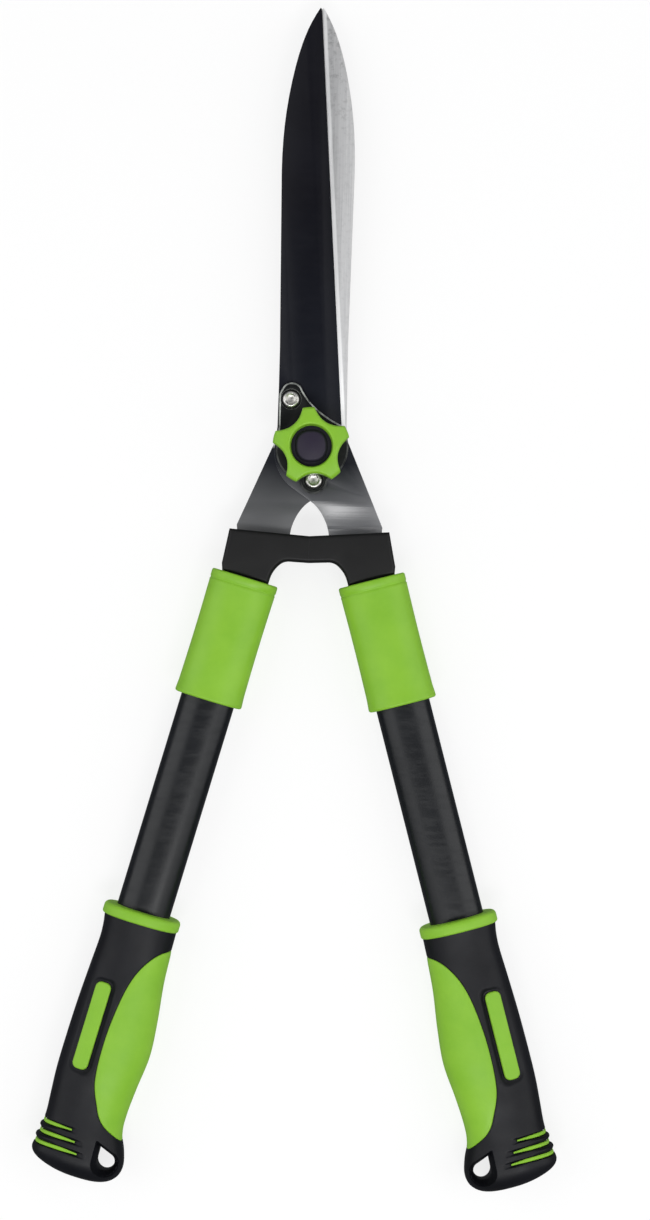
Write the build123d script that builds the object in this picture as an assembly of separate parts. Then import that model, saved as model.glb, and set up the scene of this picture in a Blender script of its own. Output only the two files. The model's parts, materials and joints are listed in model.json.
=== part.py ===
from build123d import *
from math import cos, radians, sin
import os

# Hedge shears lying on their back, closed, blades pointing along +Y.
# The row frame has its origin under the middle of the whole tool, on the surface it lies on.
# Blades and pivot are drawn in the pivot frame: origin on the pivot axis in the shearing plane.
# Handle pieces are drawn in the handle frame: Y along the tube towards the blades, X outward,
# origin where the two handle axes cross.

# ---- Overall ----
OVERALL_LENGTH = 600.0
BLADE_REACH = 224.3          # pivot axis to blade tips
HANDLE_ANGLE = 15.58         # each handle from the centre line, closed
HANDLE_APEX_Y = 48.3         # crossing of the handle axes, from the pivot
MID_Z = 16.0                 # height of the shearing plane and of the tube axes
PIVOT_Y = OVERALL_LENGTH / 2 - BLADE_REACH
RUNNING_GAP = 0.1            # between flat faces of pieces that move past each other

# ---- Blades ----
BLADE_THICKNESS = 3.0
EDGE_TIP = (-0.1, 223.7)
EDGE_HEEL = (15.3, 8.0)
BEVEL_WIDTH = 7.5
EDGE_LAND = 0.5              # thickness left at the cutting edge
BEVEL_START_Y = 13.0
JOGGLE_TOP_Y = -29.2         # the tang bends back to the middle plane below the pivot
JOGGLE_RUN = 5.0
JOGGLE_BEND = 12.0           # inner radius of the two soft bends of the step
TONGUE_HALF_WIDTH = 9.0
TONGUE_END = -168.0

# ---- Pivot ----
BOLT_RADIUS = 4.0
BOLT_HEAD_RADIUS = 9.0
BOLT_HEAD_HEIGHT = 4.2
BOLT_HEAD_RIM = 0.6
BOLT_ABOVE_NUT = 1.2
SQUARE_NECK = 8.0
BUSHING_RADIUS = 6.0
FIT_CLEARANCE = 0.05
PLATE_THICKNESS = 3.0
PLATE_BEVEL = 0.8
PLATE_CORNER = 1.0
UPPER_SCREW = (-11.0, 24.0)
LOWER_SCREW = (1.5, -16.8)
SCREW_HEAD_RADIUS = 4.3
SCREW_HEAD_HEIGHT = 2.2
SCREW_HEAD_ROUND = 1.3
SCREW_SHANK_RADIUS = 2.0
SOCKET_FLATS = 4.2
SOCKET_DEPTH = 1.5
SOCKET_RIM_RADIUS = 2.9
SOCKET_RIM_DEPTH = 0.6
SCREW_SEAT_RADIUS = 5.2
SCREW_SEAT_DEPTH = 1.2
WASHER_RADIUS = 9.4
WASHER_THICKNESS = 1.0
SPRING_RADIUS = 8.4
SPRING_HEIGHT = 1.0
SPRING_SHEET = 0.6
WASHER_CLEARANCE = 0.2

# ---- Adjusting knob ----
KNOB_LOBES = 5
KNOB_TIP_RADIUS = 19.7
KNOB_VALLEY_RADIUS = 14.0
KNOB_VALLEY_ARC = 11.7
KNOB_FIRST_LOBE = 95.5
KNOB_LOBE_ROUND = 1.9
KNOB_RIM_ROUND = 1.2
KNOB_BORE_CLEARANCE = 0.4
WASHER_POCKET_CLEARANCE = 0.6
KNOB_HEIGHT = 12.0
KNOB_SCREW_CLEARANCE = 0.55
KNOB_RECESS_RADIUS = 10.6
KNOB_RECESS_DEPTH = 6.0
NUT_FLATS = 13.0
NUT_HEIGHT = 4.0
CAP_RADIUS = 7.8
CAP_HEIGHT = 3.9
CAP_ROUND = 2.2
CAP_FLANGE_RADIUS = 10.4
CAP_FLANGE_THICKNESS = 0.8
CAP_BORE_CLEARANCE = 1.2
CAP_BORE_DEPTH = 1.8

# ---- Collars ----
COLLAR_DEPTH = 18.0
COLLAR_EDGE = 2.0
NECK_WIDTH = 24.2
NECK_DEPTH = 16.4
NECK_OVERLAP = 8.0           # length of the neck above the top of the sleeve
BUMPER_GAP = 0.1             # from the centre line to the face of a bumper
BUMPER_PROUD = 0.1
BUMPER_MIDDLE_Y = -52.0
BUMPER_CORNER = 2.0
BUMPER_SIZE = 8.4
BUMPER_DEPTH = 4.0

# ---- Handle tubes, along the handle axis ----
TUBE_WIDTH = 27.8
TUBE_DEPTH = 20.0
TUBE_WALL = 1.3
TUBE_TOP = -122.0
TUBE_BOTTOM = -400.0
PLUG_BOTTOM = -172.0
PLUG_CLEARANCE = 0.1
PIN_POSITIONS = (-136.0, -159.0)
PIN_RADIUS = 2.4

# ---- Sleeves ----
SLEEVE_TOP = -119.7
SLEEVE_BOTTOM = -185.0
SLEEVE_WIDTH = 34.6
SLEEVE_DEPTH = 26.8
SLEEVE_CORNER = 12.6
SLEEVE_LIP = 2.3
SLEEVE_END_ROUND = 1.0
SLEEVE_NECK_CLEARANCE = 0.4

# ---- Grips ----
FLANGE_TOP = -297.4
FLANGE_BOTTOM = -303.4
FLANGE_WIDTH = 40.2
FLANGE_DEPTH = 32.0
FLANGE_CORNER = 13.5
FLANGE_ROUND = 2.4
# Stations down the grip: position, inner side, outer side, depth, corner radius
GRIP_STATIONS = (
    (-303.4, -19.5, 18.8, 31.0, 13.0),
    (-315.0, -19.6, 17.4, 30.0, 13.0),
    (-332.0, -20.8, 18.2, 29.6, 13.0),
    (-350.0, -23.2, 18.9, 30.4, 13.4),
    (-368.0, -24.6, 19.2, 31.2, 13.8),
    (-386.0, -23.0, 19.1, 31.0, 13.6),
    (-402.0, -22.1, 18.0, 30.2, 13.0),
    (-413.0, -24.6, 18.2, 30.6, 13.0),
    (-423.0, -28.0, 19.6, 31.6, 13.0),
    (-430.0, -26.6, 18.2, 30.4, 12.4),
    (-434.6, -21.5, 9.5, 23.0, 9.5),
    (-436.7, -13.0, -1.0, 10.0, 4.6),
)
SKIN = 2.6                   # depth of the green inserts
PAD_EDGE = (
    (-15.5, -315.0),
    (-8.5, -323.5),
    (-4.3, -334.0),
    (-1.8, -349.0),
    (-0.8, -366.0),
    (-2.0, -385.0),
    (-6.0, -396.0),
    (-12.5, -406.0),
)
PAD_TOP = (-24.0, -311.0)
PAD_BOTTOM = (-28.0, -414.5)
STRIP_CENTRE = (7.8, -359.2)
STRIP_LENGTH = 45.6
STRIP_WIDTH = 8.2
STRIP_CORNER = 3.0
BAND_THICKNESS = 1.7
BANDS = ((-412.5, 2.0), (-417.8, -2.0), (-423.3, -5.0))   # position, inner end
RIBS = (-415.1, -420.55)     # positions of the raised black ribs between the bands
RIB_WIDTH = 2.2
RIB_INNER_END = 11.0
RIB_PROUD = 0.5
HANG_HOLE = (-18.9, -424.7)
HANG_HOLE_RADIUS = 4.3
HANG_HOLE_WALL = 12.0        # straight stretch of the hole
HANG_HOLE_MOUTH = 7.6
HANG_HOLE_FLARE = 10.0
HANG_TIP_ANGLE = 92.0
HANG_TIP_TURN = 56.0

BIG = 400.0


def cylinder_between(x, y, radius, low, high):
    """An upright cylinder from one height to another."""
    return Pos(x, y, low) * Cylinder(radius, high - low, align=(Align.CENTER, Align.CENTER, Align.MIN))


def hexagon(flats):
    """A hexagon across its flats."""
    return RegularPolygon(flats / 2, 6, major_radius=False)


def across(station):
    """A plane square to the handle axis, X outward and Y up."""
    return Plane(origin=(0, station, 0), x_dir=(1, 0, 0), z_dir=(0, -1, 0))


def handle_run(section, top, bottom):
    """A section extruded down the handle axis."""
    return extrude(across(top) * section, top - bottom)


def handle_to_pivot(shape):
    """Moves a right handle piece from the handle frame into the pivot frame."""
    return Pos(0, HANDLE_APEX_Y, 0) * Rot(0, 0, HANDLE_ANGLE) * shape


def handle_point(outward, station):
    """A point of the right handle frame, in the pivot frame."""
    turn = radians(HANDLE_ANGLE)
    x = outward * cos(turn) - station * sin(turn)
    y = HANDLE_APEX_Y + outward * sin(turn) + station * cos(turn)
    return (x, y)


# ---- Blades, drawn as the front blade with its inner face at height 0 ----

def blade_plan():
    """The outline of one blade with its tang and the tongue that runs into the handle."""
    tongue = [
        handle_point(12.0, -95.2),
        handle_point(TONGUE_HALF_WIDTH, -103.0),
        handle_point(TONGUE_HALF_WIDTH, TONGUE_END),
        handle_point(-TONGUE_HALF_WIDTH, TONGUE_END),
        handle_point(-TONGUE_HALF_WIDTH, -104.0),
        (10.6, -48.5),
        (10.0, -45.0),
    ]
    tip = (-0.8, BLADE_REACH)
    spine = Spline(tip, (-7.9, 210), (-13.6, 190), (-17.3, 167), (-18.6, 140))
    back = Spline((-18.6, 140), (-17.7, 90), (-17.3, 48), (-17.6, 10))
    boss = ThreePointArc((-18.9, -2.0), (-16.3, -12.8), (-9.3, -20.9))
    arch = Spline((0.0, -27.3), (3.2, -30.0), (6.4, -34.4), (8.8, -39.6), (10.0, -45.0))
    outline = [
        spine,
        back,
        Line((-17.6, 10), (-18.9, -2.0)),
        boss,
        Line((-9.3, -20.9), (0.0, -27.3)),
        arch,
        Polyline(*reversed(tongue)),
        Polyline(tongue[0], (19.0, 2.0), EDGE_HEEL, EDGE_TIP, tip),
    ]
    return make_face(Curve() + outline)


def blade_side():
    """The blade seen from its edge: flat, with the step in the tang that centres the handle."""
    drop = BLADE_THICKNESS / 2 + RUNNING_GAP / 2
    low_end = -BIG / 2
    joggle_end = JOGGLE_TOP_Y - JOGGLE_RUN
    side = Polyline(
        (BIG, 0),
        (JOGGLE_TOP_Y, 0),
        (joggle_end, -drop),
        (low_end, -drop),
        (low_end, BLADE_THICKNESS - drop),
        (joggle_end, BLADE_THICKNESS - drop),
        (JOGGLE_TOP_Y, BLADE_THICKNESS),
        (BIG, BLADE_THICKNESS),
        close=True,
    )
    face = make_face(side)
    bends = face.vertices().filter_by(lambda v: joggle_end - 1 < v.X < JOGGLE_TOP_Y + 1)
    return fillet(bends, JOGGLE_BEND)


def bevel_cutter():
    """The wedge ground off the outer face along the cutting edge."""
    edge = Vector(EDGE_TIP[0] - EDGE_HEEL[0], EDGE_TIP[1] - EDGE_HEEL[1], 0).normalized()
    outward = Vector(edge.Y, -edge.X, 0)
    start = Vector(EDGE_HEEL[0], EDGE_HEEL[1], 0) + edge * (BEVEL_START_Y - EDGE_HEEL[1])
    slope = (BLADE_THICKNESS - EDGE_LAND) / BEVEL_WIDTH
    section = Polyline(
        (-BEVEL_WIDTH, BLADE_THICKNESS),
        (2.0, EDGE_LAND - 2.0 * slope),
        (2.0, BLADE_THICKNESS + 1.0),
        (-BEVEL_WIDTH, BLADE_THICKNESS + 1.0),
        close=True,
    )
    plane = Plane(origin=start, x_dir=outward, z_dir=-edge)
    return extrude(plane * make_face(section), -BIG)


def blade_blank():
    """One blade without its pivot and screw holes."""
    slab = extrude(blade_plan(), BIG / 2, both=True)
    edge_on = Plane(origin=(0, 0, 0), x_dir=(0, 1, 0), z_dir=(1, 0, 0))
    side = extrude(edge_on * blade_side(), BIG / 2, both=True)
    blank = slab & side
    blank = blank - bevel_cutter()
    for station in PIN_POSITIONS:
        x, y = handle_point(0, station)
        blank = blank - cylinder_between(x, y, PIN_RADIUS, -20, 20)
    return blank


def front_blade():
    """The upper blade: bushing hole and two tapped holes for the locking plate."""
    blade = blade_blank() - cylinder_between(0, 0, BUSHING_RADIUS, -1, BLADE_THICKNESS + 1)
    for x, y in (UPPER_SCREW, LOWER_SCREW):
        blade = blade - cylinder_between(x, y, SCREW_SHANK_RADIUS, -1, BLADE_THICKNESS + 1)
    return Pos(0, 0, RUNNING_GAP / 2) * blade


def rear_blade():
    """The lower blade: the same blank turned over, with a square hole that holds the bolt."""
    blade = Rot(0, 180, 0) * blade_blank()
    blade = blade - Box(SQUARE_NECK, SQUARE_NECK, 4 * BLADE_THICKNESS)
    return Pos(0, 0, -RUNNING_GAP / 2) * blade


# ---- Pivot pieces; heights are from the shearing plane ----

PLATE_LOW = RUNNING_GAP / 2 + BLADE_THICKNESS
PLATE_HIGH = PLATE_LOW + PLATE_THICKNESS
SCREW_SEAT = PLATE_HIGH - SCREW_SEAT_DEPTH
WASHER_LOW = PLATE_HIGH + RUNNING_GAP
SPRING_LOW = WASHER_LOW + WASHER_THICKNESS
KNOB_LOW = SCREW_SEAT + SCREW_HEAD_HEIGHT + KNOB_SCREW_CLEARANCE
KNOB_HIGH = KNOB_LOW + KNOB_HEIGHT
KNOB_SEAT = SPRING_LOW + SPRING_HEIGHT + RUNNING_GAP
RECESS_FLOOR = KNOB_HIGH - KNOB_RECESS_DEPTH
NUT_LOW = RECESS_FLOOR - NUT_HEIGHT


def pivot_bolt():
    """Carriage bolt: domed head behind the rear blade, square neck, plain shank for the thread."""
    back = -RUNNING_GAP / 2 - BLADE_THICKNESS
    head = cylinder_between(0, 0, BOLT_HEAD_RADIUS, back - BOLT_HEAD_HEIGHT, back)
    rim = head.faces().sort_by(Axis.Z)[0].edges()
    head = fillet(rim, BOLT_HEAD_HEIGHT - BOLT_HEAD_RIM)
    neck = Pos(0, 0, back) * Box(
        SQUARE_NECK, SQUARE_NECK, BLADE_THICKNESS, align=(Align.CENTER, Align.CENTER, Align.MIN)
    )
    shank = cylinder_between(0, 0, BOLT_RADIUS, back, RECESS_FLOOR + BOLT_ABOVE_NUT)
    return head + neck + shank


def pivot_bushing():
    """Sleeve pressed into the front blade and the locking plate, running on the bolt."""
    low = RUNNING_GAP / 2
    outer = cylinder_between(0, 0, BUSHING_RADIUS, low, PLATE_HIGH)
    return outer - cylinder_between(0, 0, BOLT_RADIUS + FIT_CLEARANCE, low, PLATE_HIGH)


def locking_plate():
    """Cover plate on the front blade with a seat for each of its two screws."""
    outline = [
        ThreePointArc((-18.2, -2.0), (-14.2, -12.2), (-5.6, -17.9)),
        ThreePointArc((-5.6, -17.9), (1.6, -23.8), (8.4, -16.8)),
        ThreePointArc((8.4, -16.8), (18.7, -2.0), (15.0, 11.4)),
        Spline((15.0, 11.4), (3.2, 18.7), (-1.4, 23.2), (-5.9, 30.0)),
        ThreePointArc((-5.9, 30.0), (-10.5, 32.6), (-15.2, 30.0)),
        Polyline((-15.2, 30.0), (-16.9, 26.8), (-16.9, 10.0), (-18.2, -2.0)),
    ]
    face = make_face(Curve() + outline)
    face = fillet(face.vertices(), PLATE_CORNER)
    plate = extrude(Plane.XY.offset(PLATE_LOW) * face, PLATE_THICKNESS)
    plate = chamfer(plate.faces().sort_by(Axis.Z)[-1].edges(), PLATE_BEVEL)
    plate = plate - cylinder_between(0, 0, BUSHING_RADIUS, 0, BIG)
    for x, y in (UPPER_SCREW, LOWER_SCREW):
        plate = plate - cylinder_between(x, y, SCREW_SHANK_RADIUS, 0, BIG)
        plate = plate - cylinder_between(x, y, SCREW_SEAT_RADIUS, SCREW_SEAT, BIG)
    return plate


def plate_screw(x, y):
    """Button head screw with a countersunk hexagon socket."""
    top = SCREW_SEAT + SCREW_HEAD_HEIGHT
    head = cylinder_between(x, y, SCREW_HEAD_RADIUS, SCREW_SEAT, top)
    head = fillet(head.faces().sort_by(Axis.Z)[-1].edges(), SCREW_HEAD_ROUND)
    from_top = (Align.CENTER, Align.CENTER, Align.MAX)
    rim = Cone(SOCKET_FLATS / 2, SOCKET_RIM_RADIUS, SOCKET_RIM_DEPTH, align=from_top)
    socket = extrude(Plane.XY.offset(top - SOCKET_DEPTH) * hexagon(SOCKET_FLATS), SOCKET_DEPTH)
    head = head - Pos(x, y, top) * rim - Pos(x, y, 0) * socket
    shank = cylinder_between(x, y, SCREW_SHANK_RADIUS, RUNNING_GAP, SCREW_SEAT)
    return head + shank


def plate_screws():
    """Both screws of the locking plate."""
    return Compound(children=[plate_screw(*UPPER_SCREW), plate_screw(*LOWER_SCREW)])


def thrust_washer():
    """Flat washer between the locking plate and the spring washer."""
    outer = cylinder_between(0, 0, WASHER_RADIUS, WASHER_LOW, SPRING_LOW)
    return outer - cylinder_between(0, 0, BOLT_RADIUS + WASHER_CLEARANCE, WASHER_LOW, SPRING_LOW)


def spring_washer():
    """Conical spring washer under the knob."""
    section = Polyline(
        (BOLT_RADIUS + WASHER_CLEARANCE, SPRING_HEIGHT),
        (BOLT_RADIUS + WASHER_CLEARANCE, SPRING_HEIGHT - SPRING_SHEET),
        (SPRING_RADIUS, 0),
        (SPRING_RADIUS, SPRING_SHEET),
        close=True,
    )
    cone = revolve(Plane.XZ * make_face(section), Axis.Z)
    return Pos(0, 0, SPRING_LOW) * cone


def adjusting_knob():
    """Five-lobed knob with a round recess above and pockets for the nut and washers."""
    outline = Circle(KNOB_TIP_RADIUS)
    for lobe in range(KNOB_LOBES):
        turn = KNOB_FIRST_LOBE + (lobe + 0.5) * 360 / KNOB_LOBES
        centre = KNOB_VALLEY_RADIUS + KNOB_VALLEY_ARC
        outline = outline - Rot(0, 0, turn) * Pos(centre, 0) * Circle(KNOB_VALLEY_ARC)
    outline = fillet(outline.vertices(), KNOB_LOBE_ROUND)
    knob = extrude(Plane.XY.offset(KNOB_LOW) * outline, KNOB_HEIGHT)
    knob = fillet(knob.faces().sort_by(Axis.Z)[-1].edges(), KNOB_RIM_ROUND)
    knob = knob - cylinder_between(0, 0, KNOB_RECESS_RADIUS, RECESS_FLOOR, BIG)
    knob = knob - cylinder_between(0, 0, WASHER_RADIUS + WASHER_POCKET_CLEARANCE, KNOB_LOW - 1, KNOB_SEAT)
    knob = knob - cylinder_between(0, 0, BOLT_RADIUS + KNOB_BORE_CLEARANCE, KNOB_LOW - 1, BIG)
    knob = knob - extrude(Plane.XY.offset(NUT_LOW) * hexagon(NUT_FLATS), NUT_HEIGHT + 0.1)
    return knob


def knob_nut():
    """Hexagon nut moulded into the knob; its plain hole stands for the thread."""
    nut = extrude(Plane.XY.offset(NUT_LOW) * hexagon(NUT_FLATS), NUT_HEIGHT)
    return nut - cylinder_between(0, 0, BOLT_RADIUS + FIT_CLEARANCE, NUT_LOW - 1, BIG)


def knob_cap():
    """Domed cap over the nut and the bolt end, with a thin flange on the floor of the recess."""
    cap = cylinder_between(0, 0, CAP_RADIUS, RECESS_FLOOR, RECESS_FLOOR + CAP_HEIGHT)
    cap = fillet(cap.faces().sort_by(Axis.Z)[-1].edges(), CAP_ROUND)
    cap = cap + cylinder_between(0, 0, CAP_FLANGE_RADIUS, RECESS_FLOOR, RECESS_FLOOR + CAP_FLANGE_THICKNESS)
    bore_radius = BOLT_RADIUS + CAP_BORE_CLEARANCE
    return cap - cylinder_between(0, 0, bore_radius, RECESS_FLOOR - 1, RECESS_FLOOR + CAP_BORE_DEPTH)


# ---- Collars and bumpers ----

def collar():
    """Moulded collar: bumper arm, body round the tang, neck and plug inside the tube."""
    inner_face = BUMPER_GAP + BUMPER_PROUD
    arm_end = handle_point(-NECK_WIDTH / 2, SLEEVE_TOP)
    outer_end = handle_point(NECK_WIDTH / 2, SLEEVE_TOP)
    shoulder = (40.6, -42.4)
    side = (handle_point(14.1, -106.0), handle_point(13.4, -116.0))
    outline = [
        Spline((inner_face, -45.4), (14.0, -44.4), shoulder),
        Polyline(shoulder, *side, outer_end, arm_end),
        Spline(arm_end, (18.2, -64.0), (15.2, -60.4), (10.5, -58.4), tangents=((-0.25, 1), (-1, 0.1))),
        Line((10.5, -58.4), (inner_face, -58.9)),
        Line((inner_face, -58.9), (inner_face, -45.4)),
    ]
    body = extrude(make_face(Curve() + outline), COLLAR_DEPTH / 2, both=True)
    rims = body.faces().sort_by(Axis.Z)
    edges = (rims[0].edges() + rims[-1].edges()).filter_by(lambda edge: edge.center().X > inner_face + 0.01)
    body = fillet(edges, COLLAR_EDGE)
    neck = handle_run(SlotOverall(NECK_WIDTH, NECK_DEPTH), SLEEVE_TOP + NECK_OVERLAP, TUBE_TOP)
    plug_width = TUBE_WIDTH - 2 * (TUBE_WALL + PLUG_CLEARANCE)
    plug_depth = TUBE_DEPTH - 2 * (TUBE_WALL + PLUG_CLEARANCE)
    plug = handle_run(SlotOverall(plug_width, plug_depth), TUBE_TOP, PLUG_BOTTOM)
    for station in PIN_POSITIONS:
        plug = plug - cylinder_between(0, station, PIN_RADIUS, -20, 20)
    piece = body + handle_to_pivot(neck + plug)
    piece = piece - bumper_block(inner_face + BUMPER_DEPTH - BUMPER_PROUD, inner_face)
    return piece


def bumper_block(far, near):
    """The rubber block between two distances from the centre line."""
    length = far - near
    block = Box(length, BUMPER_SIZE, BUMPER_SIZE + 2)
    block = fillet(block.edges().filter_by(Axis.X), BUMPER_CORNER)
    return Pos(near + length / 2, BUMPER_MIDDLE_Y, 0) * block


def bumper():
    """Rubber buffer let into the end of the arm."""
    return bumper_block(BUMPER_GAP + BUMPER_DEPTH, BUMPER_GAP)


# ---- Handle pieces, in the handle frame ----

def sleeve():
    """Green ferrule over the joint of collar and tube."""
    section = RectangleRounded(SLEEVE_WIDTH, SLEEVE_DEPTH, SLEEVE_CORNER)
    outer = handle_run(section, SLEEVE_TOP, SLEEVE_BOTTOM)
    ends = outer.faces().sort_by(Axis.Y)
    outer = fillet(ends[0].edges() + ends[-1].edges(), SLEEVE_END_ROUND)
    lip_hole = SlotOverall(NECK_WIDTH + SLEEVE_NECK_CLEARANCE, NECK_DEPTH + SLEEVE_NECK_CLEARANCE)
    lip_end = SLEEVE_TOP - SLEEVE_LIP
    outer = outer - handle_run(lip_hole, SLEEVE_TOP + 1, lip_end)
    return outer - handle_run(SlotOverall(TUBE_WIDTH, TUBE_DEPTH), lip_end, SLEEVE_BOTTOM - 1)


def tube():
    """Flat-oval tube from the collar to inside the grip."""
    outer = handle_run(SlotOverall(TUBE_WIDTH, TUBE_DEPTH), TUBE_TOP, TUBE_BOTTOM)
    bore = SlotOverall(TUBE_WIDTH - 2 * TUBE_WALL, TUBE_DEPTH - 2 * TUBE_WALL)
    shell = outer - handle_run(bore, TUBE_TOP, TUBE_BOTTOM)
    for station in PIN_POSITIONS:
        shell = shell - cylinder_between(0, station, PIN_RADIUS, -20, 20)
    return shell


def tang_pins():
    """Two pins through tube, plug and tongue, hidden under the sleeve."""
    half = TUBE_DEPTH / 2
    pins = [cylinder_between(0, station, PIN_RADIUS, -half, half) for station in PIN_POSITIONS]
    return Compound(children=pins)


def grip_form(inset):
    """The outer form of the grip, drawn in by an inset."""
    sections = []
    for station, inner, outer, depth, corner in GRIP_STATIONS:
        width = outer - inner - 2 * inset
        if min(width, depth - 2 * inset) < 4:
            continue
        radius = max(corner - inset, 1.5)
        section = RectangleRounded(width, depth - 2 * inset, radius)
        sections.append(across(station) * Pos((inner + outer) / 2, 0) * section)
    return loft(sections)


def pad_region():
    """Everything on the palm side of the pad's edge."""
    edge = Spline(PAD_TOP, *PAD_EDGE, PAD_BOTTOM)
    outside = Polyline(PAD_BOTTOM, (-40, PAD_BOTTOM[1]), (-40, PAD_TOP[1]), PAD_TOP)
    return extrude(make_face(Curve() + [edge, outside]), 30, both=True)


def strip_region():
    """The long inlay seen from the front, through the whole grip."""
    strip = Pos(*STRIP_CENTRE) * RectangleRounded(STRIP_WIDTH, STRIP_LENGTH, STRIP_CORNER)
    return extrude(strip, 30, both=True)


def band_region(station, inner_end, thickness):
    """A thin slab square to the handle, from its inner end outward."""
    slab = Box(BIG, thickness, BIG)
    return Pos(inner_end + BIG / 2, station, 0) * slab


def hang_hole():
    """Teardrop hole through the lower end, flared towards both faces."""
    x, y = HANG_HOLE
    bore = cylinder_between(x, y, HANG_HOLE_RADIUS, -BIG / 2, BIG / 2)
    half_tip = radians(HANG_TIP_ANGLE / 2)
    reach = HANG_HOLE_RADIUS / sin(half_tip)
    side = HANG_HOLE_RADIUS * cos(half_tip)
    back = HANG_HOLE_RADIUS * sin(half_tip)
    corner = make_face(Polyline((reach, 0), (back, side), (0, 0), (back, -side), close=True))
    bore = bore + extrude(Pos(x, y) * Rot(0, 0, HANG_TIP_TURN) * corner, BIG / 2, both=True)
    for flip in (0, 180):
        flare = Pos(0, 0, HANG_HOLE_WALL / 2) * Cone(
            HANG_HOLE_RADIUS, HANG_HOLE_MOUTH, HANG_HOLE_FLARE, align=(Align.CENTER, Align.CENTER, Align.MIN)
        )
        bore = bore + Pos(x, y, 0) * Rot(flip, 0, 0) * flare
    return bore


def grip_pieces():
    """The black grip body and its green inserts."""
    form = grip_form(0)
    core = grip_form(SKIN)
    skin = form - core
    pad = skin & pad_region()
    strips = skin & strip_region()
    bands = [skin & band_region(station, inner_end, BAND_THICKNESS) for station, inner_end in BANDS]
    tube_bore = handle_run(SlotOverall(TUBE_WIDTH, TUBE_DEPTH), FLANGE_BOTTOM + 1, TUBE_BOTTOM)
    body = form - tube_bore - pad_region() - strip_region()
    for station, inner_end in BANDS:
        body = body - band_region(station, inner_end, BAND_THICKNESS)
    body = body + (core - tube_bore)
    raised = grip_form(-RIB_PROUD) - core
    for station in RIBS:
        body = body + (raised & band_region(station, RIB_INNER_END, RIB_WIDTH))
    body = body - hang_hole()
    pad = pad - tube_bore
    return body, pad, strips, bands


def grip_flange():
    """Green rim at the top of the grip."""
    section = RectangleRounded(FLANGE_WIDTH, FLANGE_DEPTH, FLANGE_CORNER)
    rim = handle_run(section, FLANGE_TOP, FLANGE_BOTTOM)
    ends = rim.faces().sort_by(Axis.Y)
    rim = fillet(ends[0].edges() + ends[-1].edges(), FLANGE_ROUND)
    return rim - handle_run(SlotOverall(TUBE_WIDTH, TUBE_DEPTH), FLANGE_TOP + 1, FLANGE_BOTTOM - 1)


# ---- Assembly ----

def solids_of(shape):
    """Every solid of a shape, one group for one node."""
    return Compound(children=list(shape.solids()))


def write(name, shape):
    """Moves a piece from the pivot frame to the row frame and writes it."""
    placed = Pos(0, PIVOT_Y, MID_Z) * shape
    export_step(placed, f"parts/{name}.step")


def write_pair(name, right_shape):
    """Writes a right handle piece and its mirror image for the left handle."""
    write(f"right_{name}", right_shape)
    write(f"left_{name}", mirror(right_shape, about=Plane.YZ))


def main():
    os.makedirs("parts", exist_ok=True)
    front = front_blade()
    write("front_blade", front)
    write("rear_blade", rear_blade())
    write("pivot_bolt", pivot_bolt())
    write("pivot_bushing", pivot_bushing())
    write("locking_plate", locking_plate())
    write("plate_screws", plate_screws())
    write("thrust_washer", thrust_washer())
    write("spring_washer", spring_washer())
    write("adjusting_knob", adjusting_knob())
    write("knob_nut", knob_nut())
    write("knob_cap", knob_cap())
    write_pair("collar", collar() - front)
    write_pair("bumper", bumper())
    body, pad, strips, bands = grip_pieces()
    write_pair("sleeve", handle_to_pivot(sleeve()))
    write_pair("tube", handle_to_pivot(tube()))
    write_pair("tang_pins", handle_to_pivot(tang_pins()))
    write_pair("grip_body", handle_to_pivot(body))
    write_pair("grip_flange", handle_to_pivot(grip_flange()))
    write_pair("palm_pad", handle_to_pivot(pad))
    write_pair("grip_strips", handle_to_pivot(solids_of(strips)))
    all_bands = Compound(children=[solid for band in bands for solid in band.solids()])
    write_pair("rib_bands", handle_to_pivot(all_bands))


main()
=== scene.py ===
"""Hedge shears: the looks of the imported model, at rest and in every pose."""
import bmesh
import bpy
import json
import math
from mathutils import Matrix, Vector

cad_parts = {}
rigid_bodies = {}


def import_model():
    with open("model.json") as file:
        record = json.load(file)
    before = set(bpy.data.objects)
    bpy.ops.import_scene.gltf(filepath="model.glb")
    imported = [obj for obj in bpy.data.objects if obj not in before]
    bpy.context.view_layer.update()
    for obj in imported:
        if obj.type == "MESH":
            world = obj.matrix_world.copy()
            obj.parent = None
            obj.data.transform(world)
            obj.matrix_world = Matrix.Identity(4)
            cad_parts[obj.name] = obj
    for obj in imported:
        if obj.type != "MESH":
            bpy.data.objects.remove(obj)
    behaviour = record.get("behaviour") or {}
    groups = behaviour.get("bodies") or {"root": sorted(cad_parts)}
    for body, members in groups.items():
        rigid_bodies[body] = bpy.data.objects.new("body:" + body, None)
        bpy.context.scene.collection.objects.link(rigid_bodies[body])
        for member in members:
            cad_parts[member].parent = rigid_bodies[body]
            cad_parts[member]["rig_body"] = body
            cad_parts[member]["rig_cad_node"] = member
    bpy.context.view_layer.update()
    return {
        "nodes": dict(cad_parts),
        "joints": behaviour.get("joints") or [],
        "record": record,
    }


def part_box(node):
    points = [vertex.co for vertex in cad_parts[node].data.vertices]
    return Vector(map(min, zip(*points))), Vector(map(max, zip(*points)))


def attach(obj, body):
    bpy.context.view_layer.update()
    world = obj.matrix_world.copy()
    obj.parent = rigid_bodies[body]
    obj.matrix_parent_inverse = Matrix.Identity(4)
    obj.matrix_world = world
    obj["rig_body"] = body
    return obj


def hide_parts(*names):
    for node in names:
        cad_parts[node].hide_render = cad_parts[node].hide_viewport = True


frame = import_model()

MM = 0.001
PIVOT = Vector(frame["joints"][0]["pos_m"])
HANDLE_ANGLE = math.radians(15.58)
HANDLE_APEX = 48.3 * MM
SIDES = {"right": 1.0, "left": -1.0}
BODIES = {"right": "right_half", "left": "left_half"}


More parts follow.
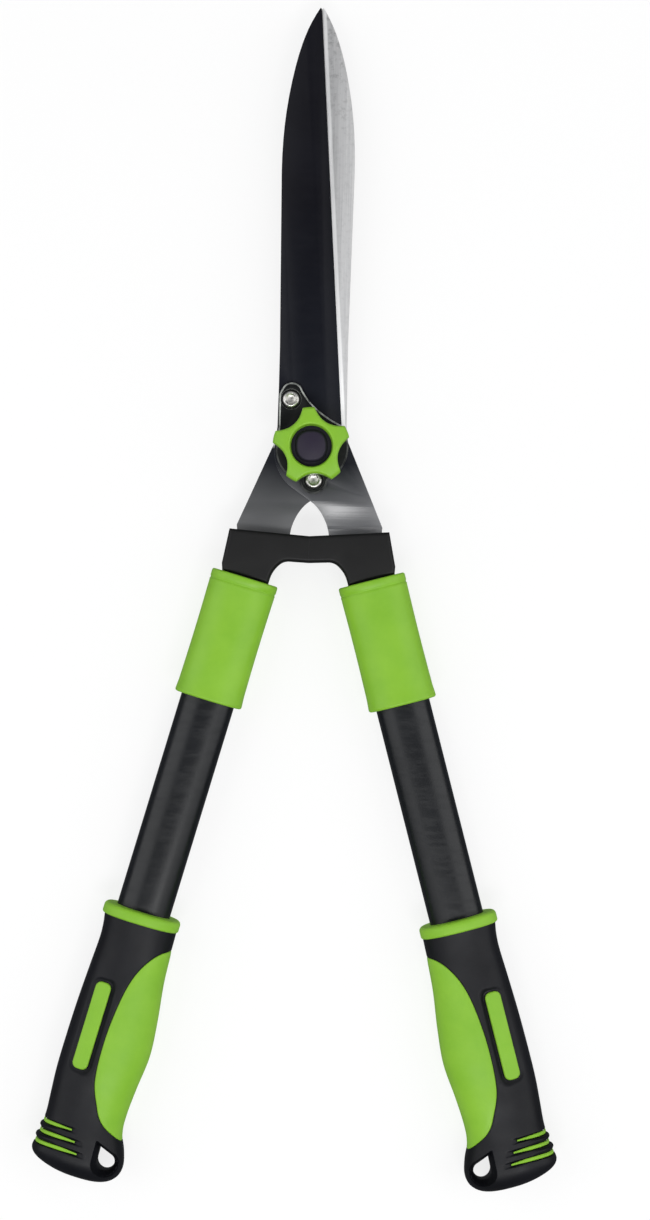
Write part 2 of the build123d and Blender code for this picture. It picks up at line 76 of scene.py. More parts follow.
# ---- Camera, lights and floor ----

PHOTO_LEAN = math.radians(1.4)
VIEW_HEIGHT = 0.6224
VIEW_CENTRE = PIVOT + Vector((8.9 * MM, -82.7 * MM, 0))
LENS = 90.0
SENSOR = 36.0
CLIP_END = 20.0
FLOOR_SIZE = 12.0
FLOOR_LEVEL = -0.3 * MM
ROOM_COLOUR = (0.93, 0.96, 1.0, 1.0)
ROOM_STRENGTH = 0.12
# Name, place, size and power of each soft box; all aim at the middle of the tool
SOFT_BOXES = (
    ("left_box", (-1.5, 0.1, 1.3), (1.9, 2.2), 20),
    ("right_box", (1.5, 0.0, 1.2), (1.7, 2.2), 19),
    ("blade_end_box", (0.0, 1.5, 1.5), (1.6, 0.8), 4),
    ("handle_end_box", (0.1, -0.84, 1.62), (1.1, 0.42), 13),
)


def make_camera():
    """Straight above the shears, leaning a little to one side."""
    data = bpy.data.cameras.new("camera")
    data.lens = LENS
    data.sensor_width = SENSOR
    data.clip_end = CLIP_END
    camera = bpy.data.objects.new("camera", data)
    camera.location = VIEW_CENTRE + Vector((0, 0, VIEW_HEIGHT * LENS / SENSOR))
    camera.rotation_euler = (0, 0, PHOTO_LEAN)
    bpy.context.scene.collection.objects.link(camera)
    bpy.context.scene.camera = camera


def make_lights():
    """Two long side boxes, one beyond each end of the tool, and a dim room."""
    for name, place, size, power in SOFT_BOXES:
        data = bpy.data.lights.new(name, "AREA")
        data.shape = "RECTANGLE"
        data.size, data.size_y = size
        data.energy = power
        light = bpy.data.objects.new(name, data)
        light.location = place
        light.rotation_euler = (-Vector(place)).to_track_quat("-Z", "Y").to_euler()
        bpy.context.scene.collection.objects.link(light)
    room = bpy.data.worlds.new("room")
    bpy.context.scene.world = room
    room.use_nodes = True
    background = room.node_tree.nodes["Background"]
    background.inputs["Color"].default_value = ROOM_COLOUR
    background.inputs["Strength"].default_value = ROOM_STRENGTH
    bpy.context.scene.view_settings.view_transform = "Standard"


def make_floor():
    """A plain pale surface under the shears, and a pale round wall far behind them."""
    paint = floor_material()
    bpy.ops.mesh.primitive_plane_add(size=FLOOR_SIZE, location=(0, 0, FLOOR_LEVEL))
    floor = bpy.context.object
    floor.name = "floor"
    bpy.ops.mesh.primitive_cylinder_add(
        vertices=96, radius=FLOOR_SIZE * 0.48, depth=FLOOR_SIZE, end_fill_type="NOTHING"
    )
    wall = bpy.context.object
    wall.name = "backdrop"
    wall.visible_diffuse = False
    wall.visible_shadow = False
    for piece in (floor, wall):
        piece.data.materials.append(paint)
        piece.visible_glossy = False


# ---- Material helpers ----

class Shader:
    """A material's node tree, with short ways to add the nodes used here."""

    def __init__(self, name):
        self.material = bpy.data.materials.new(name)
        self.material.use_nodes = True
        self.tree = self.material.node_tree
        self.surface = self.tree.nodes["Principled BSDF"]

    def node(self, kind, **inputs):
        """A new node; each input is a value or another node's output."""
        made = self.tree.nodes.new("ShaderNode" + kind)
        for key, value in inputs.items():
            self.put(made.inputs[key.replace("_", " ")], value)
        return made

    def put(self, socket, value):
        """Links an output to a socket, or sets the socket's own value."""
        if isinstance(value, bpy.types.NodeSocket):
            self.tree.links.new(value, socket)
        else:
            socket.default_value = value

    def set(self, **inputs):
        """Sets inputs of the surface."""
        for key, value in inputs.items():
            self.put(self.surface.inputs[key.replace("_", " ")], value)

    def place(self):
        """Coordinates in the row frame, as the piece lies at rest."""
        return self.node("TexCoord").outputs["Object"]

    def noise(self, scale, detail=3.0, roughness=0.5, stretch=(1, 1, 1)):
        """Noise over the piece, stretched along the axes."""
        spot = self.node("Mapping", Vector=self.place(), Scale=stretch).outputs["Vector"]
        made = self.node("TexNoise", Vector=spot, Scale=scale, Detail=detail, Roughness=roughness)
        return made.outputs["Fac"]

    def ramp(self, value, low, high, start=0.0, end=1.0):
        """Maps one range of a value onto another, held at the ends."""
        made = self.node("MapRange", Value=value, From_Min=low, From_Max=high, To_Min=start, To_Max=end)
        return made.outputs["Result"]

    def beyond_pivot(self, low, high, start=0.0, end=1.0):
        """A ramp between two distances from the pivot towards the tips, in millimetres."""
        along = self.part_of(self.place(), "Y")
        return self.ramp(along, PIVOT.y + low * MM, PIVOT.y + high * MM, start, end)

    def mix(self, factor, first, second):
        """Blends two colours."""
        made = self.tree.nodes.new("ShaderNodeMix")
        made.data_type = "RGBA"
        self.put(made.inputs["Factor"], factor)
        self.put(made.inputs[6], first)
        self.put(made.inputs[7], second)
        return made.outputs[2]

    def math(self, operation, first, second=0.0, third=0.0):
        """One sum on values or outputs."""
        made = self.tree.nodes.new("ShaderNodeMath")
        made.operation = operation
        for socket, value in zip(made.inputs, (first, second, third)):
            self.put(socket, value)
        return made.outputs[0]

    def times(self, first, second):
        """The product of two values."""
        return self.math("MULTIPLY", first, second)

    def part_of(self, vector, axis):
        """One component of a vector."""
        return self.node("SeparateXYZ", Vector=vector).outputs[axis]

    def upward(self):
        """1 on faces that look straight up, 0 on upright ones, -1 on those below."""
        return self.part_of(self.node("NewGeometry").outputs["Normal"], "Z")

    def slope(self, low, high):
        """1 on faces that lean away from straight up, 0 on flat ones."""
        upward = self.upward()
        soft = 0.04
        return self.times(self.ramp(upward, high, high - soft), self.ramp(upward, low - soft, low))

    def bump(self, height, distance, strength=1.0):
        """A surface normal disturbed by a height."""
        made = self.node("Bump", Height=height, Distance=distance, Strength=strength)
        return made.outputs["Normal"]

    def edge_wear(self, radius, low, high):
        """Near 1 on sharp outer edges, 0 elsewhere, broken up by noise."""
        bevel = self.tree.nodes.new("ShaderNodeBevel")
        bevel.samples = 6
        bevel.inputs["Radius"].default_value = radius
        dot = self.tree.nodes.new("ShaderNodeVectorMath")
        dot.operation = "DOT_PRODUCT"
        self.put(dot.inputs[0], bevel.outputs["Normal"])
        self.put(dot.inputs[1], self.node("NewGeometry").outputs["Normal"])
        edge = self.ramp(dot.outputs["Value"], high, low)
        return self.times(edge, self.ramp(self.noise(900.0, 4.0), 0.38, 0.62))


def rgb(red, green, blue):
    """A colour given as 0-255 sRGB, as linear RGBA."""
    channels = []
    for value in (red, green, blue):
        share = value / 255
        channels.append(share / 12.92 if share <= 0.04045 else ((share + 0.055) / 1.055) ** 2.4)
    return (*channels, 1.0)


# ---- Materials ----

def floor_material():
    """Matt off-white paint that glows a little, so shadows stay pale."""
    shader = Shader("pale_floor")
    tone = shader.mix(shader.noise(3.0, 2.0), rgb(122, 122, 122), rgb(128, 128, 128))
    shader.set(Base_Color=tone, Roughness=0.9, Specular_IOR_Level=0.1)
    shader.set(Emission_Color=rgb(255, 255, 255), Emission_Strength=0.8)
    return shader.material


def moulded(name, dark, light, roughness, grain, grain_depth, specular=0.4):
    """Moulded plastic or rubber: mottled colour, fine spark-eroded grain, slightly uneven gloss."""
    shader = Shader(name)
    tone = shader.mix(shader.ramp(shader.noise(38.0, 4.0, 0.6), 0.3, 0.7), dark, light)
    lifted = (*(min(1.0, channel * 1.5 + 0.006) for channel in light[:3]), 1.0)
    worn = shader.times(shader.edge_wear(0.5 * MM, 0.90, 0.995), 0.5)
    shader.set(Base_Color=shader.mix(worn, tone, lifted), Specular_IOR_Level=specular)
    gloss = shader.ramp(shader.noise(90.0, 3.0), 0.3, 0.7, roughness - 0.05, roughness + 0.06)
    shader.set(Roughness=gloss)
    shader.set(Normal=shader.bump(shader.noise(grain, 2.0, 0.6), grain_depth, 0.6))
    return shader.material


def coating_colour(shader, tone):
    """A dark tone clouded with a slightly lighter one."""
    light = rgb(*(channel + 7 for channel in tone))
    return shader.mix(shader.ramp(shader.noise(22.0, 5.0, 0.6), 0.35, 0.7), rgb(*tone), light)


def scuffs(shader, low, high):
    """Roughness broken up by small scuffs across the tool."""
    return shader.ramp(shader.noise(60.0, 6.0, 0.7, (1, 6, 1)), 0.45, 0.75, low, high)


def coating_finish(shader, roughness, specular):
    """Scuffed gloss over a fine orange peel."""
    shader.set(Roughness=scuffs(shader, roughness, roughness + 0.18), Specular_IOR_Level=specular)
    shader.set(Normal=shader.bump(shader.noise(1500.0, 3.0), 0.02 * MM, 0.5))


def tube_paint():
    """Black baked coating with metal showing faintly at rubbed edges."""
    shader = Shader("tube_paint")
    rubbed = shader.times(shader.edge_wear(0.35 * MM, 0.88, 0.99), 0.35)
    shader.set(Base_Color=shader.mix(rubbed, coating_colour(shader, (7, 10, 15)), rgb(120, 120, 124)))
    coating_finish(shader, 0.3, 0.42)
    return shader.material


def plate_paint():
    """Black plate whose sloped bevel is painted pale metal as a painted highlight, brightest at its upper
    end, and whose edges are rubbed.
    """
    shader = Shader("plate_paint")
    # painted highlight: the sloped bevel faces painted pale metal, stronger towards the upper end
    bevel = shader.times(shader.slope(0.25, 0.96), shader.ramp(shader.noise(260.0, 5.0), 0.3, 0.55))
    bevel = shader.times(bevel, shader.beyond_pivot(2, 20, 0.12))
    rubbed = shader.times(shader.edge_wear(0.35 * MM, 0.90, 0.99), 0.3)
    # the painted highlight on the bevel together with real wear on the edges
    metal = shader.math("MAXIMUM", bevel, rubbed)
    shader.set(Base_Color=shader.mix(metal, coating_colour(shader, (9, 11, 12)), rgb(214, 218, 212)))
    shader.set(Metallic=shader.times(metal, 0.4))
    coating_finish(shader, 0.34, 0.25)
    return shader.material


EDGE_LINE_TOP = 220          # where the blades' shared edge crosses the centre line, from the pivot
EDGE_LINE_SLOPE = -0.0705


def edge_strip_highlight(shader):
    """A painted highlight: a strip of the ground face next to the cutting edge of the other blade, where it
    lies at rest.
    """
    place = shader.place()
    along = shader.math("SUBTRACT", shader.part_of(place, "Y"), PIVOT.y + EDGE_LINE_TOP * MM)
    beside = shader.math("SUBTRACT", shader.part_of(place, "X"), shader.times(along, EDGE_LINE_SLOPE))
    return shader.times(shader.ramp(beside, 2.6 * MM, 2.0 * MM), shader.ramp(beside, -9 * MM, -7 * MM))


def ground_steel(shader, lines):
    """Bare steel: grinding lines, broad streaks, specks towards the tip, and a near-white painted highlight
    strip by the other blade's edge.
    """
    streaks = shader.ramp(shader.noise(60.0, 4.0, 0.6, (1.6, 0.06, 0.1)), 0.35, 0.75, 0.0, 0.45)
    specks = shader.ramp(shader.noise(420.0, 5.0, 0.75), 0.5, 0.66, 0.0, 0.5)
    specks = shader.times(specks, shader.beyond_pivot(150, 215, 0.25))
    steel = shader.mix(shader.ramp(lines, 0.3, 0.7), rgb(200, 200, 201), rgb(226, 226, 226))
    steel = shader.mix(streaks, steel, rgb(180, 180, 182))
    steel = shader.mix(specks, steel, rgb(112, 112, 116))
    # painted highlight: a near-white strip beside the other blade's edge, as the blades lie closed
    return shader.mix(shader.times(edge_strip_highlight(shader), 0.85), steel, rgb(254, 254, 254))


def blade_coat(shader, tang, tang_tone):
    """Blue-black coating, greyer on the tang; below the pivot the bevels are painted slate as a painted
    highlight, and the edges are painted slate, partly wear and partly painted highlight.
    """
    near, far = coating_colour(shader, (20, 22, 30)), coating_colour(shader, (13, 13, 20))
    coat = shader.mix(shader.beyond_pivot(30, 130), near, far)
    coat = shader.mix(tang, coat, coating_colour(shader, tang_tone))
    # edges near and below the pivot painted slate: partly wear, partly painted highlight
    rubbed = shader.times(shader.edge_wear(0.4 * MM, 0.86, 0.99), 0.5)
    coat = shader.mix(shader.times(rubbed, shader.beyond_pivot(10, 0, 0.1)), coat, rgb(112, 118, 126))
    # painted highlight: sloped bevel faces below the pivot painted slate, standing in for the light they
    # reflect
    bevel = shader.times(shader.slope(0.3, 0.9), shader.beyond_pivot(4, 0, 0.0, 0.8))
    return shader.mix(bevel, coat, rgb(104, 114, 126))


def two_finish_blade(name, inner_sign, tang_tone, tang_roughness, tang_specular):
    """Black coated blade whose inner face is ground bare beyond the pivot; the tang is a greyer black."""
    shader = Shader(name)
    black_specular = 0.1
    lines = shader.noise(620.0, 5.0, 0.7, (2.2, 0.03, 0.05))
    inner = shader.ramp(shader.times(shader.upward(), inner_sign), 0.93, 0.97)
    bare = shader.times(inner, shader.beyond_pivot(-1, 1))
    tang = shader.beyond_pivot(-8, -34)
    colour = shader.mix(bare, blade_coat(shader, tang, tang_tone), ground_steel(shader, lines))
    shader.set(Base_Color=colour, Metallic=bare, IOR=1.65)
    coated = shader.times(scuffs(shader, 0.32, 0.44), shader.math("SUBTRACT", 1.0, tang))
    coated = shader.math("MULTIPLY_ADD", tang, tang_roughness, coated)
    coated = shader.times(coated, shader.math("SUBTRACT", 1.0, bare))
    polish = shader.ramp(shader.noise(240.0, 4.0, 0.6, (1.6, 0.1, 0.1)), 0.3, 0.7, 0.42, 0.56)
    shader.set(Roughness=shader.math("MULTIPLY_ADD", bare, polish, coated))
    shine = shader.math("MULTIPLY_ADD", tang, tang_specular - black_specular, black_specular)
    shader.set(Specular_IOR_Level=shine)
    relief = shader.math("ADD", shader.times(lines, bare), shader.times(shader.noise(1500.0, 3.0), 0.5))
    shader.set(Normal=shader.bump(relief, 0.02 * MM, 0.4))
    return shader.material


def plated_steel():
    """Zinc plating: bright and slightly mottled."""
    shader = Shader("plated_steel")
    tone = shader.mix(shader.ramp(shader.noise(500.0, 4.0), 0.3, 0.7), rgb(190, 188, 182), rgb(226, 225, 221))
    shader.set(Base_Color=tone, Metallic=1.0)
    shader.set(Roughness=shader.ramp(shader.noise(800.0, 3.0), 0.3, 0.7, 0.25, 0.42))
    shader.set(Normal=shader.bump(shader.noise(2500.0, 2.0), 0.01 * MM, 0.3))
    return shader.material


def bushing_metal():
    """Turned bronze of the bushing."""
    shader = Shader("bushing_metal")
    turned = shader.noise(1500.0, 2.0, 0.5, (0.1, 0.1, 3.0))
    shader.set(Base_Color=shader.mix(turned, rgb(176, 138, 82), rgb(208, 172, 112)), Metallic=1.0)
    shader.set(Roughness=shader.ramp(turned, 0.3, 0.7, 0.28, 0.4))
    return shader.material


def make_materials():
    """Every finish, by its slot in the record."""
    green = rgb(126, 183, 40), rgb(139, 194, 49)
    purple_black = rgb(27, 18, 40), rgb(34, 25, 48)
    nylon = rgb(11, 11, 12), rgb(16, 16, 17)
    bumper = rgb(24, 24, 24), rgb(32, 32, 32)
    grip_black = rgb(12, 13, 17), rgb(17, 18, 24)
    return {
        # The front tang's tone is lighter than the rear's as a painted highlight: it stands in for the sheen
        # fading down the tang below its step.
        "coated_blade": two_finish_blade("front_blade_finish", -1.0, (84, 85, 88), 0.3, 1.0),
        "ground_blade": two_finish_blade("rear_blade_finish", 1.0, (74, 75, 77), 0.43, 0.55),
        "plated_steel": plated_steel(),
        "bushing_brass": bushing_metal(),
        "plate_paint": plate_paint(),
        "tube_paint": tube_paint(),
        "green_plastic": moulded("green_plastic", *green, 0.42, 2200.0, 0.02 * MM),
        "green_rubber": moulded("green_rubber", *green, 0.52, 1300.0, 0.05 * MM),
        "cap_plastic": moulded("cap_plastic", *purple_black, 0.5, 1800.0, 0.02 * MM),
        "collar_nylon": moulded("collar_nylon", *nylon, 0.5, 1500.0, 0.04 * MM, 0.3),
        "bumper_rubber": moulded("bumper_rubber", *bumper, 0.7, 900.0, 0.04 * MM),
        "grip_rubber": moulded("grip_rubber", *grip_black, 0.46, 1300.0, 0.05 * MM, 0.24),
    }


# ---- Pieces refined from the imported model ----

FINE_EDGE = 0.25             # rounding of ordinary edges
BROAD_EDGE = 6               # how many times broader a wide bevel is
EDGE_ANGLE = math.radians(32)


def refined(node, edge=FINE_EDGE, wide=None, tight=None):
    """A copy of a CAD node with joined flats, small rounded edges and smooth shading.

    wide and tight pick edges, by their middle in the pivot frame: wide ones get a broad bevel,
    tight ones none.
    """
    piece = copy_of(node)
    mesh = bmesh.new()
    mesh.from_mesh(piece.data)
    bmesh.ops.remove_doubles(mesh, verts=mesh.verts, dist=0.002 * MM)
    bmesh.ops.dissolve_limit(mesh, angle_limit=math.radians(1.0), verts=mesh.verts, edges=mesh.edges)
    mesh.normal_update()
    weights = mesh.edges.layers.float.new("bevel_weight_edge")
    broadest = edge * (BROAD_EDGE if wide else 1)
    for line in mesh.edges:
        middle = ((line.verts[0].co + line.verts[1].co) / 2 - PIVOT) / MM
        if line.calc_face_angle(0) > EDGE_ANGLE and not (tight and tight(middle)):
            line[weights] = 1.0 if wide and wide(middle) else edge / broadest
    mesh.to_mesh(piece.data)
    mesh.free()
    bevel = piece.modifiers.new("edges", "BEVEL")
    bevel.width = broadest * MM
    bevel.segments = 2
    bevel.limit_method = "WEIGHT"
    bevel.harden_normals = False
    bake_modifiers(piece)
    sharp_above(piece, 38)
    return piece


def copy_of(node):
    """A free copy of a CAD node, without its imported shading."""
    source = frame["nodes"][node]
    piece = source.copy()
    piece.data = source.data.copy()
    piece.name = node + "_shown"
    piece.parent = None
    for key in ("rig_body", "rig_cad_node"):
        if key in piece:
            del piece[key]
    bpy.context.scene.collection.objects.link(piece)
    if piece.data.has_custom_normals:
        with bpy.context.temp_override(object=piece, active_object=piece):
            bpy.ops.mesh.customdata_custom_splitnormals_clear()
    return piece


def bake_modifiers(piece):
    """Replaces the mesh with its modified form."""
    graph = bpy.context.evaluated_depsgraph_get()
    graph.update()
    finished = bpy.data.meshes.new_from_object(piece.evaluated_get(graph))
    piece.modifiers.clear()
    piece.data = finished


def sharp_above(piece, degrees):
    """Smooth shading with sharp edges above an angle."""
    for polygon in piece.data.polygons:
        polygon.use_smooth = True
    piece.data.set_sharp_from_angle(angle=math.radians(degrees))


def dress(piece, slot, body, node):
    """Gives a piece its material, body and slot, and hides the CAD node it stands for."""
    piece.data.materials.clear()
    piece.data.materials.append(MATERIALS[slot])
    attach(piece, body)
    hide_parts(node)


# ---- Mesh building in the handle frame: X outward, Y towards the blades, Z up, in millimetres ----

def handle_matrix(side):
    """Takes the handle frame, in millimetres, to the row frame; the left handle is a mirror image."""
    place = Matrix.Translation(PIVOT) @ Matrix.Translation((0, HANDLE_APEX, 0))
    right = place @ Matrix.Rotation(HANDLE_ANGLE, 4, "Z") @ Matrix.Scale(MM, 4)
    if SIDES[side] > 0:
        return right
    across = Matrix.Translation((PIVOT.x, 0, 0))
    return across @ Matrix.Scale(-1, 4, (1, 0, 0)) @ across.inverted() @ right


def smooth_through(points, x):
    """A smooth curve through rows of (x, a, b, ...), read at x."""
    rows = sorted(points)
    last = len(rows) - 1
    x = min(max(x, rows[0][0]), rows[last][0])
    k = 0
    while k < last - 1 and x > rows[k + 1][0]:
        k += 1
    step = rows[k + 1][0] - rows[k][0]
    share = (x - rows[k][0]) / step
    result = []
    for column in range(1, len(rows[0])):
        low, high = rows[k][column], rows[k + 1][column]
        before, after = rows[max(k - 1, 0)], rows[min(k + 2, last)]
        slope_low = (high - before[column]) / (rows[k + 1][0] - before[0]) * step
        slope_high = (after[column] - low) / (after[0] - rows[k][0]) * step
        s2, s3 = share ** 2, share ** 3
        value = (2 * s3 - 3 * s2 + 1) * low + (s3 - 2 * s2 + share) * slope_low
        value += (3 * s2 - 2 * s3) * high + (s3 - s2) * slope_high
        result.append(value)
    return result


def step_between(low, high, value):
    """0 below low, 1 above high, smooth between."""
    share = min(max((value - low) / (high - low), 0.0), 1.0)
    return share * share * (3 - 2 * share)


def spread(start, end, count):
    """Evenly spaced values, ends included."""
    return [start + (end - start) * k / (count - 1) for k in range(count)]


def full_turn(count, offset=0.0):
    """Evenly spaced angles round a circle."""
    return [2 * math.pi * (k + offset) / count for k in range(count)]


def oval_point(half_width, half_depth, power, angle):
    """A point of a rounded-off rectangle; power 2 gives an ellipse, more gives fuller corners."""
    c, s = math.cos(angle), math.sin(angle)
    x = math.copysign(abs(c) ** (2 / power), c) * half_width
    z = math.copysign(abs(s) ** (2 / power), s) * half_depth
    return x, z


def skin_rows(mesh, rows):
    """Square faces between rows of equally many corners."""
    for row, following in zip(rows, rows[1:]):
        for k in range(len(row) - 1):
            mesh.faces.new((row[k], row[k + 1], following[k + 1], following[k]))


def object_from_rings(name, rings, matrix, close_ends=True):
    """A skin over closed rings of equally many points."""
    mesh = bmesh.new()
    rows = [[mesh.verts.new(matrix @ Vector(point)) for point in ring] for ring in rings]
    skin_rows(mesh, [row + row[:1] for row in rows])
    if close_ends:
        mesh.faces.new(rows[0])
        mesh.faces.new(rows[-1])
    bmesh.ops.remove_doubles(mesh, verts=mesh.verts, dist=0.0001 * MM)
    return object_from_bmesh(name, mesh)


def object_from_bmesh(name, mesh):
    """A new object with outward normals and smooth shading."""
    bmesh.ops.recalc_face_normals(mesh, faces=mesh.faces)
    data = bpy.data.meshes.new(name)
    mesh.to_mesh(data)
    mesh.free()
    piece = bpy.data.objects.new(name, data)
    bpy.context.scene.collection.objects.link(piece)
    for polygon in data.polygons:
        polygon.use_smooth = True
    return piece


# ---- Grips ----

GRIP_TOP = -303.4
GRIP_END = -436.7
RIB_ZONE = (-408.0, -428.0)
# Position, inner side, outer side, half depth
GRIP_FORM = (
    (-303.4, -19.3, 18.7, 15.2),
    (-309.0, -19.5, 17.8, 14.9),
    (-316.0, -19.7, 17.4, 14.7),
    (-331.0, -20.7, 18.1, 14.7),
    (-350.0, -23.2, 18.9, 15.2),
    (-368.0, -24.6, 19.2, 15.6),
    (-386.0, -22.9, 19.1, 15.4),
    (-400.0, -22.0, 18.2, 15.0),
    (-409.0, -22.6, 17.6, 15.1),
    (-417.0, -26.0, 18.0, 15.4),
    (-424.0, -28.0, 19.0, 15.6),
    (-428.5, -27.7, 19.4, 15.3),
    (-432.0, -25.8, 16.2, 13.8),
    (-434.8, -22.0, 9.0, 11.0),
    (-436.3, -16.5, 1.5, 7.0),
    (-436.7, -10.5, -4.5, 2.0),
)
GRIP_POWER = 2.55
# The palm pad's edge: distance outward and position
PAD_EDGE = (
    (-311.0, -24.0),
    (-315.0, -15.5),
    (-323.5, -8.5),
    (-334.0, -4.3),
    (-349.0, -1.8),
    (-366.0, -0.8),
    (-385.0, -2.0),
    (-396.0, -6.0),
    (-406.0, -12.5),
    (-414.5, -28.0),
)
PAD_REACH = 4.0              # distances to the pad's edge are not followed further than this
BEYOND_SIDE = -60.0
STRIP_CENTRE = (7.8, -359.2)
STRIP_HALF = (4.1, 22.8)
STRIP_CORNER = 3.0
# Position of each green band and how far it reaches towards the palm
BANDS = ((-412.4, 2.0), (-417.8, -2.0), (-423.3, -5.0))
BAND_BOW = 0.0035
BAND_TURN = math.radians(112)
BAND_WALL = 0.9
RIBS = (-415.1, -420.55)
HANG_HOLE = (-18.9, -424.7)
HANG_HOLE_RADIUS = 4.5
HANG_TIP_TURN = math.radians(56)
HANG_TIP_ANGLE = math.radians(64)
HANG_BEVEL = 2.6             # width and depth of the dished rim round the hole
HANG_BEVEL_DEPTH = 8.5
SEAM = 0.5                   # half width and depth of a seam
GRIP_WALL = 1.4


def pad_edge_points():
    """The pad's edge as closely spaced points, carried on past the grip's side."""
    points = [(smooth_through(PAD_EDGE, w)[0], w) for w in spread(PAD_EDGE[0][0], PAD_EDGE[-1][0], 140)]
    return [(BEYOND_SIDE, PAD_EDGE[0][0])] + points + [(BEYOND_SIDE, PAD_EDGE[-1][0])]


def distance_to_line(points, x, y):
    """Shortest distance from a point to a run of points."""
    best = math.inf
    for (ax, ay), (bx, by) in zip(points, points[1:]):
        dx, dy = bx - ax, by - ay
        share = ((x - ax) * dx + (y - ay) * dy) / (dx * dx + dy * dy)
        share = min(max(share, 0.0), 1.0)
        best = min(best, (x - ax - share * dx) ** 2 + (y - ay - share * dy) ** 2)
    return math.sqrt(best)


def pad_field(edge, x, y):
    """Distance to the palm pad's edge, negative on the pad."""
    if y > PAD_EDGE[0][0] + PAD_REACH or y < PAD_EDGE[-1][0] - PAD_REACH:
        return PAD_REACH
    inside = PAD_EDGE[-1][0] < y < PAD_EDGE[0][0] and x < smooth_through(PAD_EDGE, y)[0]
    if not inside and x > 3.5:
        return PAD_REACH
    reach = distance_to_line(edge, x, y)
    return -reach if inside else reach


def strip_field(x, y):
    """Distance to the long inlay's outline, negative on the inlay."""
    across = abs(x - STRIP_CENTRE[0]) - STRIP_HALF[0] + STRIP_CORNER
    along = abs(y - STRIP_CENTRE[1]) - STRIP_HALF[1] + STRIP_CORNER
    outside = math.hypot(max(across, 0), max(along, 0))
    return outside + min(max(across, along), 0) - STRIP_CORNER


def hole_field(x, y):
    """Distance to the hanging hole's teardrop outline, negative in the hole."""
    dx, dy = x - HANG_HOLE[0], y - HANG_HOLE[1]
    along = dx * math.cos(HANG_TIP_TURN) + dy * math.sin(HANG_TIP_TURN)
    aside = abs(dy * math.cos(HANG_TIP_TURN) - dx * math.sin(HANG_TIP_TURN))
    turn = math.pi / 2 - HANG_TIP_ANGLE / 2
    if math.atan2(aside, along) < turn:
        return along * math.cos(turn) + aside * math.sin(turn) - HANG_HOLE_RADIUS
    return math.hypot(along, aside) - HANG_HOLE_RADIUS


def band_station(x, y):
    """Position down the grip, following the slight bow of the green bands."""
    return y + BAND_BOW * (x - 4.0) ** 2


def rib_height(x, y):
    """How far the ribs and the grooves for the bands stand out of the grip, in millimetres."""
    station = band_station(x, y)
    if not RIB_ZONE[1] - 2 < station < RIB_ZONE[0] + 2:
        return 0.0
    height = 0.0
    for centre, inner in BANDS:
        fade = step_between(inner - 2.0, inner + 1.0, x)
        height -= 1.5 * fade * (1 - step_between(0.9, 1.5, abs(station - centre)))
    outer = step_between(6.0, 15.0, x)
    for rib in RIBS:
        height += 0.9 * outer * (1 - step_between(0.2, 1.4, abs(station - rib)))
    return height


def slice_at(mesh, layer, level):
    """Cuts the faces along the line where a vertex value equals a level."""
    close = 1e-5
    for edge in list(mesh.edges):
        a, b = edge.verts
        low, high = a[layer] - level, b[layer] - level
        if low * high < 0 and abs(low) > close and abs(high) > close:
            layers = mesh.verts.layers.float.values()
            share = low / (low - high)
            values = [a[other] + (b[other] - a[other]) * share for other in layers]
            made = bmesh.utils.edge_split(edge, a, share)[1]
            for other, value in zip(layers, values):
                made[other] = value
            made[layer] = level
    for face in list(mesh.faces):
        values = [vert[layer] - level for vert in face.verts]
        if min(values) < -close and max(values) > close:
            on = [vert for vert, value in zip(face.verts, values) if abs(value) <= close]
            if len(on) == 2:
                bmesh.utils.face_split(face, on[0], on[1])


def grip_rows():
    """Stations down the grip, close together in the ribs and round the end."""
    rows = spread(GRIP_TOP, RIB_ZONE[0], 100)[:-1]
    rows += spread(RIB_ZONE[0], RIB_ZONE[1], 62)[:-1]
    end_run = RIB_ZONE[1] - GRIP_END
    rows += [GRIP_END + end_run * (1 - math.sin(math.pi / 2 * share)) for share in spread(0, 1, 22)]
    return rows


def grip_front_half():
    """The front half of the grip's skin, cut along its seams and shaped, and its distance values."""
    mesh = bmesh.new()
    fields = {name: mesh.verts.layers.float.new(name) for name in ("pad", "strip", "hole")}
    edge = pad_edge_points()
    around = 66
    rows = []
    for station in grip_rows():
        inner, outer, half_depth = smooth_through(GRIP_FORM, station)
        centre, half_width = (inner + outer) / 2, (outer - inner) / 2
        row = []
        for k in range(around + 1):
            x, z = oval_point(half_width, half_depth, GRIP_POWER, math.pi * k / around)
            row.append(mesh.verts.new((centre + x, station, max(z, 0.0))))
        rows.append(row)
    skin_rows(mesh, rows)
    for vert in mesh.verts:
        x, y = vert.co.x, vert.co.y
        vert[fields["pad"]] = pad_field(edge, x, y)
        vert[fields["strip"]] = strip_field(x, y)
        vert[fields["hole"]] = hole_field(x, y) + 1e-4
    seam_levels = (-SEAM, -0.3 * SEAM, 0.0, 0.3 * SEAM, SEAM)
    for level in seam_levels:
        slice_at(mesh, fields["pad"], level)
    for level in (*seam_levels, 1.0, 1.7, 2.4, 3.4):
        slice_at(mesh, fields["strip"], level)
    for level in (0.0, 0.5, 1.0, 1.5, 2.0, HANG_BEVEL, 3.0):
        slice_at(mesh, fields["hole"], level)
    shape_grip_surface(mesh, fields)
    return mesh, fields


def seam_drop(distance):
    """Rounded lip on each side of a seam."""
    share = max(0.0, 1 - abs(distance) / SEAM)
    return SEAM * (1 - math.sqrt(max(0.0, 1 - share * share)))


